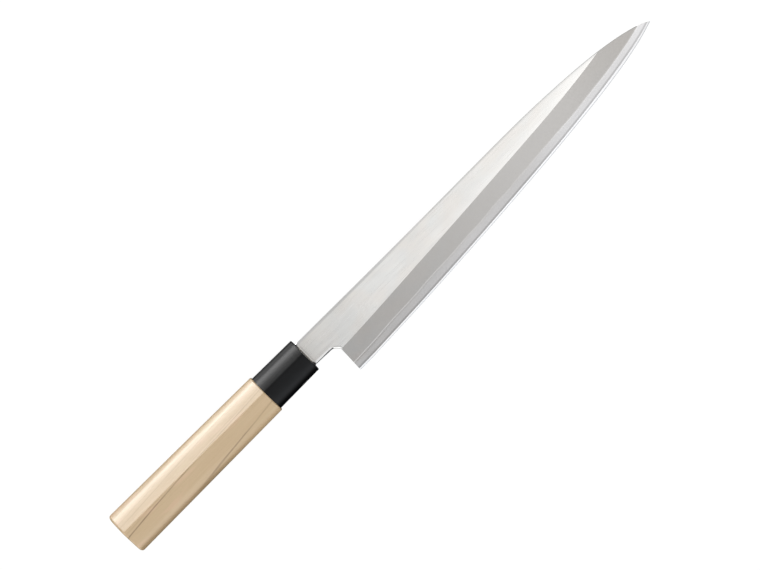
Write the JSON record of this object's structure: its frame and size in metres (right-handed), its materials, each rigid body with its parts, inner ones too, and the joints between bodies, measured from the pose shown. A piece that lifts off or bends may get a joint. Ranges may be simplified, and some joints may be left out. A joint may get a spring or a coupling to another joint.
{
  "type": "yanagiba kitchen knife",
  "caption": "Single-bevel slicing knife with a long laminated steel blade, hollow-ground back, pale wooden chestnut-section handle and black ferrule.",
  "frame": {"origin": "under the middle of the knife's outer box, on the surface that its handle lies on with the bevelled face up", "axes": "+X along the handle towards the tip, +Y towards the spine (the cutting edge faces -Y), +Z out of the bevelled face"},
  "size_m": [0.3419, 0.0346, 0.0189],
  "materials": {
    "soft_steel": "satin, ground along the blade on the flat and matt on the bevel",
    "cutting_steel": "finely ground, brighter than the soft steel",
    "wood": "unvarnished, sanded",
    "black_resin": "semi-gloss",
    "adhesive": "cured resin",
    "seal": "matt"
  },
  "bodies": {
    "root": {"blade_cladding": "soft_steel", "blade_core": "cutting_steel", "handle": "wood", "ferrule": "black_resin", "tang_adhesive": "adhesive", "tang_seal": "seal"}
  },
  "joints": []
}
